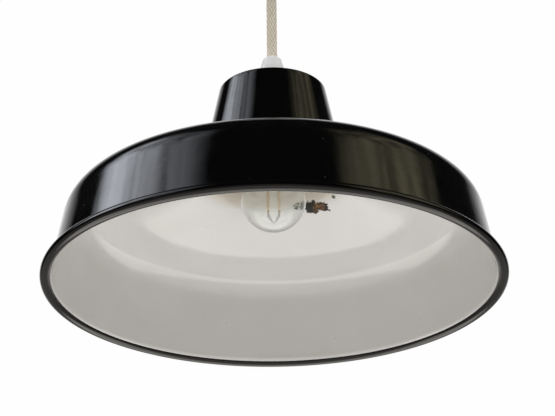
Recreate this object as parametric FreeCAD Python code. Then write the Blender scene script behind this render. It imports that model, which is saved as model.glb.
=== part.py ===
import FreeCAD, Part
import math, os

# Pendant ceiling light: a ceiling rose, a short taut braided flex, a cord grip, an E27 lampholder,
# an enamelled steel shade with a stepped neck, and a clear filament bulb.
# Millimetres. The origin is the centre of the rose's ceiling face, +Z is up, everything hangs below.

os.makedirs("parts", exist_ok=True)
V = FreeCAD.Vector
AXIS = V(0, 0, 1)

# ---------------------------------------------------------------- driving dimensions
ceiling_to_mouth = 272.0     # ceiling face down to the lowest edge of the shade

# shade, heights measured up from its lowest edge
mouth_dia = 305.0
bead_dia = 7.0               # curled rim
curl_gap = 0.3               # slit where the curled edge stops short of the skirt
sheet = 1.2                  # steel with its black enamel
lining = 0.3                 # white enamel inside
lining_end_angle = 235.0     # where the white stops on the curl, degrees from outwards
skirt_flare = 15.9           # growth of the radius from shoulder to mouth
shoulder_height = 56.7
shoulder_round = 20.2
neck_base_dia = 98.4
neck_base_height = 81.3
neck_base_round = 17.6
neck_top_dia = 72.4
neck_top_round = 2.3
shade_height = 145.0

# flex
flex_dia = 7.0
core_dia = 2.2
core_circle = 1.9            # the cores' centres, from the flex's axis
running_gap = 0.3            # round the flex, where it turns or swings
bend_ball_gap = 0.1          # the ball where the flex bends is this much smaller in radius
bend_cut = 1.4               # the flex stops this far from the pivot, above and below
tail_gap = 0.3               # between the turning flex and its tail inside the lamp
flex_in_grip = 2.2           # length of the turning flex that sits inside the grip

# threaded stem, washers and lock nut
stem_wall = 1.2
stem_in_grip = 8.0
stem_in_cap = 5.0
stem_hole_gap = 0.2          # holes in shade and washers, bigger in radius than the stem
washer_dia = 20.0
washer_thick = 1.0
nut_across_flats = 14.0
nut_thick = 3.0
nut_chamfer = 0.7

# cord grip: a tapered bush whose wall thins towards the top
grip_height = 25.0
grip_base_wall = 5.7
grip_base_round = 0.8
grip_mid_wall = 4.3
grip_mid_drop = 8.0          # below the top
grip_mid_round = 6.0
grip_top_wall = 2.65
grip_top_round = 0.8
grip_lip_wall = 0.8          # flat ring at the very top
grip_lip_drop = 1.7          # height of the slope round that ring
grip_mouth_chamfer = 1.0
grip_screw_dia = 2.9
grip_screw_height = 13.0
grip_boss_dia = 6.0
grip_boss_stand = 2.0        # how far the boss stands out of the bush
screw_gap = 0.05             # round a screw in its hole, in radius

# lampholder, depths measured down from the top of its cap
holder_wall = 2.0
holder_boss_wall = 6.0       # round the stem
holder_boss_height = 2.5
holder_dome_height = 6.5     # from the boss down to the cap's straight side
holder_cap_height = 24.0
holder_roof = 5.0            # thickness of the cap's top
holder_ledge = 1.8           # step in the cap that holds the insert's flange down
lock_screw_dia = 2.6
lock_screw_depth = 1.9
spigot_wall = 1.9            # skirt's threaded end, inside the cap
spigot_height = 6.0
spigot_gap = 0.2
holder_skirt_length = 28.0
holder_skirt_taper = 1.3     # how much narrower the skirt's end is, in radius
skirt_groove = 0.9           # depth of the grip line round the skirt
throat_gap = 1.9             # round the screw shell
insert_top = 14.0
insert_depth = 21.5
insert_gap = 0.3
socket_wall = 0.4
socket_gap = 0.1             # running clearance between the screw shells
socket_flange = 3.6
socket_lead = 4.0            # plain length above the thread
thread_pitch = 3.629
thread_turns = 3.0
rivet_dia = 2.4
tongue_thick = 0.4
tongue_width = 5.0
contact_button_dia = 4.8
contact_drop = 1.0           # from the tongue to the bulb's tip
contact_gap = 0.1
holder_terminal = (5.6, 6.0, 5.4)    # brass block: across, front to back, height
holder_terminal_inset = 3.7  # from the cap's inner wall
holder_wire_rise = 3.0       # centre of the wire hole above the insert
small_screw_dia = 2.4
earth_tag_thick = 0.8
earth_tag_rim = 2.2          # ring beyond the stem
earth_lug = (4.0, 2.2, 7.0)  # width, thickness, length
earth_wire_drop = 4.6

# bulb, depths measured down from its tip
bulb_dia = 44.0
bulb_cap_dia = 26.0
bulb_cap_length = 26.5
bulb_cap_wall = 0.4
bulb_cap_flare = 0.3
bulb_cap_step = 1.6          # the cap's closed end is this much narrower in radius
bulb_cap_shoulder = 4.4      # tip down to the metal
bulb_cap_thread_end = 21.8
bulb_tip_dia = 9.2
bulb_tip_thick = 1.2
insulator_dia = 11.2
insulator_gap = 0.05
glass_wall = 0.8
glass_gap = 0.3              # between the cap and the glass neck
glass_in_cap = 4.0
neck_run = 4.41              # straight glass below the cap
bulb_neck_round = 8.0
stem_length = 12.5           # glass stem, from the neck's rim down
stem_foot = 7.0              # flare that closes the neck
stem_tip_dia = 4.4
filament_dia = 1.7
filament_circle_dia = 10.6
filament_count = 4
filament_drop = 2.4          # below the stem's tip
filament_floor_gap = 11.6    # above the lowest point of the globe
gather_drop = 6.4            # where the lower wires meet, below the filaments
wire_dia = 0.6
wire_root_share = 0.28       # the upper wires leave the stem on this share of the filament circle
board_gap = 3.6              # between the cap and the driver board, in radius
board_span = (7.5, 19.5)     # depths of its ends
board_thick = 1.0
coil_size = (5.0, 3.9, 8.0)
can_dia = 5.0
can_length = 9.0

# ceiling rose, depths measured down from the ceiling face
rose_dia = 76.0
rose_taper = 2.0             # loss of radius from the ceiling to the flat end
rose_depth = 31.0
rose_wall = 2.0
rose_lip = 0.5               # shadow gap at the ceiling
rose_round = 7.0
hub_depth = 11.0
hub_taper = 2.0
outlet_gap = 0.9             # round the flex at the narrowest part of the outlet
outlet_flare = 3.4           # growth of the outlet's radius below the pivot
outlet_lip = 2.4             # flat ring round the outlet
pivot_drop = 6.0             # the flex bends this far below the flat end
base_thick = 3.0
base_rim_depth = 12.0
base_rim_wall = 2.4
cover_gap = 0.2
fixing_centres = 51.0
fixing_slot_length = 10.0
fixing_slot_width = 4.6
cable_entry_dia = 13.0
cable_entry_y = -19.0
clamp_height = 8.0
clamp_thick = 4.0
clamp_gap = 1.0              # under the clamp, and above it to the end of the sheath
clamp_screw_dia = 3.0
clamp_screw_gap = 3.5        # from the flex's side to the screw
clamp_screw_margin = 3.0
terminal_count = 3
terminal_pitch = 14.0
carrier_margin = 5.0
carrier_depth = 10.0
carrier_height = 9.0
carrier_corner_gap = 4.49    # from the carrier's back to the base's rim
sleeve_dia = 6.0
sleeve_inset = 1.5
terminal_screw_dia = 2.8
well_dia = 5.4

# ---------------------------------------------------------------- derived places
z_mouth = -ceiling_to_mouth
z_top = z_mouth + shade_height               # flat top of the shade's neck
z_under = z_top - sheet - lining             # underside of that top
z_grip = z_top + washer_thick                # seat of the cord grip
z_exit = z_grip + grip_height                # where the flex leaves the grip
z_holder = z_under - washer_thick - nut_thick    # top of the lampholder's cap
z_pivot = -rose_depth - pivot_drop
flex_r = flex_dia / 2
bore_r = flex_r + running_gap                # passage for the flex
stem_r = bore_r + stem_wall
socket_r = bulb_cap_dia / 2 + socket_gap     # inside of the holder's screw shell
throat_r = socket_r + socket_wall + throat_gap
spigot_r = throat_r + spigot_wall
cap_room_r = spigot_r + spigot_gap
holder_r = cap_room_r + holder_wall
terminal_x = cap_room_r - holder_ledge - holder_terminal_inset - holder_terminal[0] / 2
z_tip = z_holder - insert_depth - tongue_thick - contact_drop    # top face of the bulb's tip contact
clamp_depth = rose_depth - rose_wall - clamp_gap - clamp_height / 2
clamp_screw_x = flex_r + clamp_screw_gap + clamp_screw_dia / 2
flex_end_depth = clamp_depth - clamp_height / 2 - clamp_gap


# ---------------------------------------------------------------- helpers
def unit(a, b):
    length = math.hypot(b[0] - a[0], b[1] - a[1])
    return ((b[0] - a[0]) / length, (b[1] - a[1]) / length)


def on_section(p):
    return V(p[0], 0, p[1])


def rounded_chain(corners, closed):
    """Edges in the XZ plane along (radius, z[, rounding]) corners."""
    count = len(corners)
    pieces = []
    for i, corner in enumerate(corners):
        rounding = corner[2] if len(corner) > 2 else 0
        here = corner[:2]
        inner = closed or 0 < i < count - 1
        if rounding and inner:
            back = unit(here, corners[i - 1][:2])
            ahead = unit(here, corners[(i + 1) % count][:2])
            half = math.acos(max(-1, min(1, back[0] * ahead[0] + back[1] * ahead[1]))) / 2
            reach = rounding / math.tan(half)
            start = (here[0] + back[0] * reach, here[1] + back[1] * reach)
            end = (here[0] + ahead[0] * reach, here[1] + ahead[1] * reach)
            middle = unit((0, 0), (back[0] + ahead[0], back[1] + ahead[1]))
            to_arc = rounding / math.sin(half) - rounding
            top = (here[0] + middle[0] * to_arc, here[1] + middle[1] * to_arc)
            pieces.append((start, top, end))
        else:
            pieces.append((here,))
    edges = []
    for i, piece in enumerate(pieces):
        if len(piece) == 3:
            edges.append(Part.Arc(*[on_section(p) for p in piece]).toShape())
        if i < count - 1 or closed:
            start, end = on_section(piece[-1]), on_section(pieces[(i + 1) % count][0])
            if start.distanceToPoint(end) > 1e-6:
                edges.append(Part.LineSegment(start, end).toShape())
    return edges


def spin(edges):
    """Solid of revolution about Z from the closed outline."""
    face = Part.Face(Part.Wire(Part.__sortEdges__(edges)))
    solid = face.revolve(V(0, 0, 0), AXIS, 360)
    if solid.ShapeType != "Solid":
        solid = Part.Solid(solid.Shells[0])
    if solid.Volume < 0:
        solid.reverse()
    return solid


def lathe(*corners):
    return spin(rounded_chain(list(corners), True))


def offset_chain(corners, distance):
    """The open chain moved to its left; outer roundings shrink and inner ones grow."""
    moved = []
    for i, corner in enumerate(corners):
        here = corner[:2]
        before = unit(corners[i - 1][:2], here) if i else unit(here, corners[1][:2])
        after = unit(here, corners[i + 1][:2]) if i < len(corners) - 1 else before
        normal_a, normal_b = (-before[1], before[0]), (-after[1], after[0])
        share = 1 + normal_a[0] * normal_b[0] + normal_a[1] * normal_b[1]
        shift = ((normal_a[0] + normal_b[0]) / share, (normal_a[1] + normal_b[1]) / share)
        turn = before[0] * after[1] - before[1] * after[0]
        rounding = corner[2] if len(corner) > 2 else 0
        if rounding:
            rounding = max(0.2, rounding - distance) if turn > 0 else rounding + distance
        moved.append((here[0] + shift[0] * distance, here[1] + shift[1] * distance, rounding))
    return moved


def rod(radius, start, end):
    direction = end - start
    return Part.makeCylinder(radius, direction.Length, start, direction)


def tube(outer, inner, z_low, z_high):
    return lathe((inner, z_low), (outer, z_low), (outer, z_high), (inner, z_high))


def block(x, y, z):
    """Box from (low, high) pairs."""
    return Part.makeBox(x[1] - x[0], y[1] - y[0], z[1] - z[0], V(x[0], y[0], z[0]))


def wire_along(points, radius):
    """Round wire through the points, with every corner rounded as widely as its runs allow."""
    edges, last = [], points[0]
    for a, b, c in zip(points, points[1:], points[2:]):
        back, ahead = (a - b), (c - b)
        turn = math.pi - back.getAngle(ahead)
        reach = 0.45 * min(back.Length, ahead.Length)
        bend = reach / math.tan(turn / 2)
        back.normalize()
        ahead.normalize()
        start, end = b + back * reach, b + ahead * reach
        middle = (back + ahead).normalize()
        top = b + middle * (bend / math.cos(turn / 2) - bend)
        edges.append(Part.LineSegment(last, start).toShape())
        edges.append(Part.Arc(start, top, end).toShape())
        last = end
    edges.append(Part.LineSegment(last, points[-1]).toShape())
    path = Part.Wire(edges)
    section = Part.Wire(Part.makeCircle(radius, points[0], points[1] - points[0]))
    return path.makePipeShell([section], True, True)


def joined(shapes):
    return shapes[0].multiFuse(list(shapes[1:])).removeSplitter()


def screw(seat, direction, dia, length):
    """Slotted cheese-head screw: seat is under the head, direction is the way it goes in."""
    head_r, head_thick = dia * 0.9, dia * 0.5
    out = direction * -1
    body = joined([rod(dia / 2, seat, seat + direction * length), rod(head_r, seat, seat + out * head_thick)])
    across = AXIS if abs(direction.z) < 0.5 else V(1, 0, 0)
    side = direction.cross(across)
    slot_depth, slot_half = head_thick * 0.5, head_r * 0.13
    slot = Part.makeBox(2 * slot_half, 2 * head_r + 2, slot_depth + 1)
    frame = FreeCAD.Matrix(side.x, across.x, out.x, 0, side.y, across.y, out.y, 0, side.z, across.z, out.z, 0)
    slot.translate(V(-slot_half, -head_r - 1, head_thick - slot_depth))
    slot = slot.transformGeometry(frame)
    slot.translate(seat)
    return body.cut(slot)


nodes = {}


# ---------------------------------------------------------------- shade
def shade_corners():
    """Outer line from the tangent point on the curl up to the stem hole, and the curl's centre and angle."""
    curl = (mouth_dia / 2 - bead_dia / 2, z_mouth + bead_dia / 2)
    inner_r = bead_dia / 2 - sheet
    shoulder = (mouth_dia / 2 - skirt_flare, z_mouth + shoulder_height)
    reach = math.hypot(shoulder[0] - curl[0], shoulder[1] - curl[1])
    angle = math.atan2(shoulder[1] - curl[1], shoulder[0] - curl[0]) + math.acos(inner_r / reach)
    start = (curl[0] + inner_r * math.cos(angle), curl[1] + inner_r * math.sin(angle))
    corners = [start, shoulder + (shoulder_round,),
               (neck_base_dia / 2, z_mouth + neck_base_height, neck_base_round),
               (neck_top_dia / 2, z_top, neck_top_round),
               (stem_r + stem_hole_gap, z_top)]
    return corners, curl, angle


def curl_arc(centre, radius, first, last):
    spots = [first, (first + last) / 2, last]
    return Part.Arc(*[V(centre[0] + radius * math.cos(a), 0, centre[1] + radius * math.sin(a))
                      for a in spots]).toShape()


def shade():
    outer, curl, angle = shade_corners()
    inner = offset_chain(outer, sheet)
    white = offset_chain(outer, sheet + lining)
    bead_r, core_r = bead_dia / 2, bead_dia / 2 - sheet
    closing = math.acos(core_r / bead_r) + curl_gap / core_r
    last = angle + 2 * math.pi - closing
    lip_out = V(curl[0] + bead_r * math.cos(last), 0, curl[1] + bead_r * math.sin(last))
    lip_in = V(curl[0] + core_r * math.cos(last), 0, curl[1] + core_r * math.sin(last))
    section = rounded_chain(outer, False) + rounded_chain(inner, False)
    section += [Part.LineSegment(on_section(outer[-1]), on_section(inner[-1])).toShape(),
                curl_arc(curl, bead_r, angle, last),
                Part.LineSegment(lip_out, lip_in).toShape(),
                curl_arc(curl, core_r, angle, last)]
    nodes["shade_shell"] = spin(section)

    # white enamel: the whole inside, ending on the inner side of the curl
    stop = math.radians(lining_end_angle)
    edge_in = V(curl[0] + bead_r * math.cos(stop), 0, curl[1] + bead_r * math.sin(stop))
    out_r = bead_r + lining
    edge_out = V(curl[0] + out_r * math.cos(stop), 0, curl[1] + out_r * math.sin(stop))
    skin = rounded_chain(inner, False) + rounded_chain(white, False)
    skin += [Part.LineSegment(on_section(inner[-1]), on_section(white[-1])).toShape(),
             curl_arc(curl, bead_r, angle, stop),
             Part.LineSegment(edge_in, edge_out).toShape(),
             curl_arc(curl, out_r, angle, stop)]
    nodes["shade_white_lining"] = spin(skin)


# ---------------------------------------------------------------- cord grip, stem, washers, nut
def grip_and_stem():
    base_r = bore_r + grip_base_wall
    body = lathe((bore_r, z_grip + stem_in_grip), (stem_r, z_grip + stem_in_grip), (stem_r, z_grip),
                 (base_r, z_grip, grip_base_round),
                 (bore_r + grip_mid_wall, z_exit - grip_mid_drop, grip_mid_round),
                 (bore_r + grip_top_wall, z_exit - grip_lip_drop, grip_top_round),
                 (bore_r + grip_lip_wall, z_exit),
                 (bore_r + grip_mouth_chamfer * 0.3, z_exit), (bore_r, z_exit - grip_mouth_chamfer))
    screw_z = z_grip + grip_screw_height
    boss_end = base_r + grip_boss_stand
    boss_root = bore_r + grip_top_wall / 2       # inside the wall all the way up
    boss = rod(grip_boss_dia / 2, V(0, boss_root, screw_z), V(0, boss_end, screw_z))
    hole = rod(grip_screw_dia / 2 + screw_gap, V(0, 0, screw_z), V(0, boss_end, screw_z))
    nodes["cord_grip"] = joined([body, boss]).cut(hole)
    nodes["cord_grip_screw"] = screw(V(0, boss_end, screw_z), V(0, -1, 0), grip_screw_dia, boss_end - flex_r)
    nodes["upper_washer"] = tube(washer_dia / 2, stem_r + stem_hole_gap, z_top, z_grip)
    nodes["lower_washer"] = tube(washer_dia / 2, stem_r + stem_hole_gap, z_under - washer_thick, z_under)
    nodes["threaded_stem"] = tube(stem_r, bore_r, z_holder - stem_in_cap, z_grip + stem_in_grip)
    corner_r = nut_across_flats / 2 / math.cos(math.radians(30))
    ring = [V(corner_r * math.cos(math.radians(60 * k)), corner_r * math.sin(math.radians(60 * k)), z_holder)
            for k in range(7)]
    prism = Part.Face(Part.makePolygon(ring)).extrude(V(0, 0, nut_thick))
    z_nut_top = z_holder + nut_thick
    chamfered = lathe((0, z_holder), (corner_r - nut_chamfer, z_holder), (corner_r, z_holder + nut_chamfer),
                      (corner_r, z_nut_top), (0, z_nut_top))
    hole = rod(stem_r, V(0, 0, z_holder), V(0, 0, z_nut_top))
    nodes["lock_nut"] = prism.common(chamfered).cut(hole)


# ---------------------------------------------------------------- lampholder
def depth(d):
    return z_holder - d


def holder_cap():
    boss_r, ledge_r = stem_r + holder_boss_wall, cap_room_r - holder_ledge
    side_top = depth(holder_boss_height + holder_dome_height)
    roof, dome_end = depth(holder_roof), depth(holder_roof + holder_dome_height - 1)
    cap = lathe((stem_r, depth(0)), (boss_r, depth(0), 0.6), (boss_r, depth(holder_boss_height), 1.0),
                (holder_r, side_top, holder_dome_height * 0.9), (holder_r, depth(holder_cap_height)),
                (cap_room_r, depth(holder_cap_height)), (cap_room_r, depth(insert_top)),
                (ledge_r, depth(insert_top)), (ledge_r, dome_end, 3.0), (boss_r - holder_wall, roof),
                (stem_r, roof))
    z = depth(lock_screw_depth)
    outside, inside = V(-boss_r - 1, 0, z), V(-stem_r, 0, z)
    nodes["holder_cap"] = cap.cut(rod(lock_screw_dia / 2, outside, inside))
    nodes["holder_lock_screw"] = rod(lock_screw_dia / 2, V(-boss_r + 0.4, 0, z), inside)


def holder_skirt():
    joint, end = holder_cap_height - spigot_height, holder_cap_height + holder_skirt_length
    groove_top, groove_low = depth(holder_cap_height + 4.0), depth(holder_cap_height + 5.5)
    nodes["holder_skirt"] = lathe(
        (holder_r, depth(holder_cap_height)), (holder_r, groove_top, 2.0),
        (holder_r - skirt_groove, groove_low, 1.5), (holder_r - holder_skirt_taper, depth(end), 1.2),
        (throat_r, depth(end), 0.6), (throat_r, depth(joint)), (spigot_r, depth(joint)),
        (spigot_r, depth(holder_cap_height)))

    # porcelain insert: flange clamped between cap and skirt, nose standing into the skirt
    nose_r = throat_r - insert_gap
    insert = lathe((0, depth(insert_top)), (spigot_r, depth(insert_top)), (spigot_r, depth(joint)),
                   (nose_r, depth(joint)), (nose_r, depth(insert_depth), 0.5), (0, depth(insert_depth)))
    rivet_hole = rod(rivet_dia / 2, V(0, 0, depth(insert_depth)), V(0, 0, depth(insert_top)))
    nodes["holder_insert"] = insert.cut(rivet_hole)


def holder_contacts():
    # rivet through the insert, with a spring tongue and a domed button below it
    tongue_low, button_low = depth(insert_depth + tongue_thick), z_tip + contact_gap
    reach = socket_r - socket_flange - 1.5
    tongue = block((-reach, 3.2), (-tongue_width / 2, tongue_width / 2), (tongue_low, depth(insert_depth)))
    button_r = contact_button_dia / 2
    button = lathe((0, button_low), (button_r, button_low, 0.3), (button_r, tongue_low), (0, tongue_low))
    rivet = rod(rivet_dia / 2, V(0, 0, depth(insert_depth)), V(0, 0, depth(insert_top)))
    nodes["holder_centre_contact"] = joined([tongue, button, rivet])

    # screw shell with the flange that fixes it under the insert
    shell_end = depth(insert_depth + socket_wall + contact_drop + socket_lead + thread_turns * thread_pitch)
    flange_r, outer_r = socket_r - socket_flange, socket_r + socket_wall
    nodes["holder_screw_shell"] = lathe(
        (flange_r, depth(insert_depth)), (outer_r, depth(insert_depth), 0.5), (outer_r, shell_end),
        (socket_r, shell_end), (socket_r, depth(insert_depth + socket_wall), 0.2),
        (flange_r, depth(insert_depth + socket_wall)))

    # two brass terminals on top of the insert, each with a screw from the front
    across, deep, tall = holder_terminal
    wire_z = depth(insert_top) + holder_wire_rise
    terminals, screws = [], []
    for side in (-1, 1):
        x = side * terminal_x
        body = block((x - across / 2, x + across / 2), (-deep / 2, deep / 2),
                     (depth(insert_top), depth(insert_top) + tall))
        wire_hole = rod(core_dia / 2, V(x - side * across, 0, wire_z), V(x + side * 0.4, 0, wire_z))
        tap = rod(small_screw_dia / 2, V(x, -deep, wire_z), V(x, 0, wire_z))
        terminals.append(body.cut(wire_hole).cut(tap))
        reach = (deep - core_dia) / 2 - 0.2
        screws.append(screw(V(x, -deep / 2, wire_z), V(0, 1, 0), small_screw_dia, reach))
    nodes["holder_terminals"] = Part.makeCompound(terminals)
    nodes["holder_terminal_screws"] = Part.makeCompound(screws)


# ---------------------------------------------------------------- flex inside the lamp
def wiring_below():
    tail_low, wire_z = depth(stem_in_cap + 1.0), depth(insert_top) + holder_wire_rise
    nodes["flex_tail"] = rod(flex_r, V(0, 0, tail_low), V(0, 0, z_exit - flex_in_grip - tail_gap))
    for name, side in (("core_live_lower", 1), ("core_neutral_lower", -1)):
        route = [V(side * core_circle, 0, tail_low), V(side * core_circle, 0, wire_z),
                 V(side * (terminal_x - 0.2), 0, wire_z)]
        nodes[name] = wire_along(route, core_dia / 2)

    # the earth core runs to a ring tag held on the end of the stem
    tag_top, tag_low = depth(holder_roof), depth(holder_roof) - earth_tag_thick
    lug_width, lug_thick, lug_length = earth_lug
    lug_y = stem_r + earth_tag_rim - 1.0
    ring = tube(stem_r + earth_tag_rim, flex_r + running_gap, tag_low, tag_top)
    lug = block((-lug_width / 2, lug_width / 2), (lug_y, lug_y + lug_thick), (tag_top - lug_length, tag_top))
    tag = joined([ring.cut(tube(stem_r, bore_r - 0.1, depth(stem_in_cap), z_holder)), lug])
    wire_z = tag_top - earth_wire_drop
    nodes["earth_tag"] = tag.cut(rod(core_dia / 2, V(0, 0, wire_z), V(0, lug_y + lug_thick, wire_z)))
    route = [V(0, core_circle, tail_low), V(0, core_circle, wire_z), V(0, lug_y + lug_thick, wire_z)]
    nodes["core_earth_lower"] = wire_along(route, core_dia / 2)


# ---------------------------------------------------------------- bulb
def below_tip(q):
    return z_tip - q


def bulb_cap():
    tip_r, cap_r = bulb_tip_dia / 2, bulb_cap_dia / 2
    tip_low = below_tip(bulb_tip_thick)
    nodes["bulb_tip_contact"] = lathe((0, below_tip(0)), (tip_r - 0.6, below_tip(0), 0.5), (tip_r, tip_low),
                                      (0, tip_low))
    step_r, shoulder = cap_r - bulb_cap_step, bulb_cap_shoulder
    top, low = tip_low - insulator_gap, below_tip(shoulder + bulb_tip_thick)
    nodes["bulb_insulator"] = lathe((0, top), (insulator_dia / 2, top), (step_r, below_tip(shoulder)),
                                    (step_r, low), (0, low))
    inner_r, end_r = cap_r - bulb_cap_wall, cap_r + bulb_cap_flare
    nodes["bulb_cap_shell"] = lathe(
        (step_r, below_tip(shoulder)), (cap_r, below_tip(shoulder + 1.0), 0.5),
        (cap_r, below_tip(bulb_cap_thread_end)), (end_r, below_tip(bulb_cap_length)),
        (end_r - bulb_cap_wall, below_tip(bulb_cap_length)), (inner_r, below_tip(bulb_cap_thread_end)),
        (inner_r, low - bulb_cap_wall), (step_r, low))
    half, face = cap_r - board_gap, board_thick / 2
    board_top, board_low = (below_tip(q) for q in board_span)
    nodes["bulb_driver_board"] = block((-half, half), (-face, face), (board_low, board_top))
    coil_x, coil_y, coil_z = coil_size
    can_r = can_dia / 2
    coil = block((1 - half * 0.75, 1 - half * 0.75 + coil_x), (face, face + coil_y),
                 (board_top - 1.5 - coil_z, board_top - 1.5))
    can_at = (half - can_r * 2, face + can_r + 0.2)
    can = rod(can_r, V(*can_at, board_top - 1.5 - can_length), V(*can_at, board_top - 1.5))
    nodes["bulb_driver_components"] = Part.makeCompound([coil, can])


def bulb_glass():
    # neck, concave shoulder and globe, blown to one wall thickness
    globe_r, neck_r = bulb_dia / 2, bulb_cap_dia / 2 - bulb_cap_wall - glass_gap
    rise = math.sqrt((globe_r + bulb_neck_round) ** 2 - (neck_r + bulb_neck_round) ** 2)
    lean = math.atan2(rise, neck_r + bulb_neck_round)
    centre = below_tip(bulb_cap_length + neck_run + rise)
    top = below_tip(bulb_cap_length - glass_in_cap)

    def outline(offset):
        ball, turn = globe_r - offset, bulb_neck_round + offset
        hub = V(neck_r + bulb_neck_round, 0, centre + rise)
        arc = [V(hub.x + turn * math.cos(a), 0, hub.z + turn * math.sin(a))
               for a in (math.pi, math.pi + lean / 2, math.pi + lean)]
        low = [V(ball * math.cos(a), 0, centre + ball * math.sin(a))
               for a in (lean, (lean - math.pi / 2) / 2, -math.pi / 2)]
        return [Part.LineSegment(V(neck_r - offset, 0, top), arc[0]).toShape(),
                Part.Arc(*arc).toShape(), Part.Arc(*low).toShape()]
    rim = Part.LineSegment(V(neck_r, 0, top), V(neck_r - glass_wall, 0, top)).toShape()
    floor = Part.LineSegment(V(0, 0, centre - globe_r), V(0, 0, centre - globe_r + glass_wall)).toShape()
    nodes["bulb_glass"] = spin(outline(0) + outline(glass_wall) + [rim, floor])
    print("bulb length", round(z_tip - centre + globe_r, 2))

    # stem: flared foot closing the neck, then a narrow tube
    foot_r, tip_r, stem_tip = neck_r - glass_wall, stem_tip_dia / 2, top - stem_length
    nodes["bulb_glass_stem"] = lathe((0, top - stem_foot), (tip_r, top - stem_foot, 1.0), (foot_r, top),
                                     (foot_r, top - 1.0), (tip_r + 1.2, top - stem_foot - 2.0, 3.0),
                                     (tip_r, stem_tip, 1.0), (0, stem_tip))
    return stem_tip, centre - globe_r


def bulb_filaments(stem_tip, globe_floor):
    # filaments hang between support wires fanned from the stem and gathered below
    ring_r, high, low = filament_circle_dia / 2, stem_tip - filament_drop, globe_floor + filament_floor_gap
    gather = V(0, 0, low - gather_drop)
    sticks, lower, upper = [], [Part.makeSphere(wire_dia, gather)], []
    for k in range(filament_count):
        turn = 2 * math.pi * (k + 0.5) / filament_count
        x, y = ring_r * math.cos(turn), ring_r * math.sin(turn)
        sticks.append(rod(filament_dia / 2, V(x, y, low), V(x, y, high)))
        lower.append(rod(wire_dia / 2, V(x, y, low), gather))
        root = V(x * wire_root_share, y * wire_root_share, stem_tip)
        upper.append(rod(wire_dia / 2, V(x, y, high), root))
    nodes["bulb_filaments"] = Part.makeCompound(sticks)
    nodes["bulb_lower_wires"] = joined(lower)
    nodes["bulb_upper_wires"] = Part.makeCompound(upper)


# ---------------------------------------------------------------- flex between grip and rose
def flex():
    ball_r, low, high = flex_r - bend_ball_gap, z_exit - flex_in_grip, z_pivot - bend_cut
    cup = Part.makeSphere(ball_r + running_gap, V(0, 0, z_pivot))
    nodes["flex"] = rod(flex_r, V(0, 0, low), V(0, 0, high)).cut(cup)
    nodes["flex_bend"] = Part.makeSphere(ball_r, V(0, 0, z_pivot))
    nodes["flex_clamped_end"] = rod(flex_r, V(0, 0, z_pivot + bend_cut), V(0, 0, -flex_end_depth)).cut(cup)
    print("flex: straight length", round(high - low, 2))


# ---------------------------------------------------------------- ceiling rose
def rose_cover():
    r, end_r = rose_dia / 2, rose_dia / 2 - rose_taper
    outlet_r = flex_r + outlet_gap
    hub_low, roof = -rose_depth - hub_depth, -rose_depth + rose_wall
    hub_end_r = outlet_r + outlet_flare + outlet_lip
    nodes["rose_cover"] = lathe(
        (r, -rose_lip), (end_r, -rose_depth, rose_round), (hub_end_r + hub_taper, -rose_depth, 3.0),
        (hub_end_r, hub_low, 1.4), (outlet_r + outlet_flare, hub_low, 0.8), (outlet_r, z_pivot),
        (outlet_r, roof, 0.8), (end_r - rose_wall, roof, rose_round - rose_wall), (r - rose_wall, -rose_lip))


def rose_base():
    # the base and its rim follow the inside of the cover
    rim_r = rose_dia / 2 - rose_wall - cover_gap - rose_taper * base_rim_depth / rose_depth
    inner_r = rim_r - base_rim_wall
    base = lathe((0, 0), (rim_r, 0), (rim_r, -base_rim_depth), (inner_r, -base_rim_depth),
                 (inner_r, -base_thick), (0, -base_thick))
    half = clamp_screw_x + clamp_screw_margin
    clamp_low, clamp_high = -clamp_depth - clamp_height / 2, -clamp_depth + clamp_height / 2
    arm = block((-half, half), (-flex_r - clamp_thick, -flex_r), (clamp_low, -base_thick))
    entry = rod(cable_entry_dia / 2, V(0, cable_entry_y, -base_thick), V(0, cable_entry_y, 0))
    base = joined([base, arm]).cut(entry)
    slot_r = fixing_slot_width / 2
    reach = fixing_slot_length / 2 - slot_r
    for side in (-1, 1):
        x = side * fixing_centres / 2
        for end in (x - reach, x + reach):
            base = base.cut(rod(slot_r, V(end, 0, -base_thick), V(end, 0, 0)))
        base = base.cut(block((x - reach, x + reach), (-slot_r, slot_r), (-base_thick, 0)))
        base = base.cut(rod(clamp_screw_dia / 2, V(side * clamp_screw_x, -flex_r - clamp_thick, -clamp_depth),
                            V(side * clamp_screw_x, 0, -clamp_depth)))
    nodes["rose_base"] = base

    jaw = block((-half, half), (flex_r, flex_r + clamp_thick), (clamp_low, clamp_high))
    screws = []
    for side in (-1, 1):
        at = V(side * clamp_screw_x, flex_r + clamp_thick, -clamp_depth)
        jaw = jaw.cut(rod(clamp_screw_dia / 2 + screw_gap, at, V(at.x, flex_r, at.z)))
        screws.append(screw(at, V(0, -1, 0), clamp_screw_dia, 2 * flex_r + 2 * clamp_thick))
    nodes["rose_clamp_jaw"] = jaw
    nodes["rose_clamp_screws"] = Part.makeCompound(screws)
    return inner_r


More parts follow.
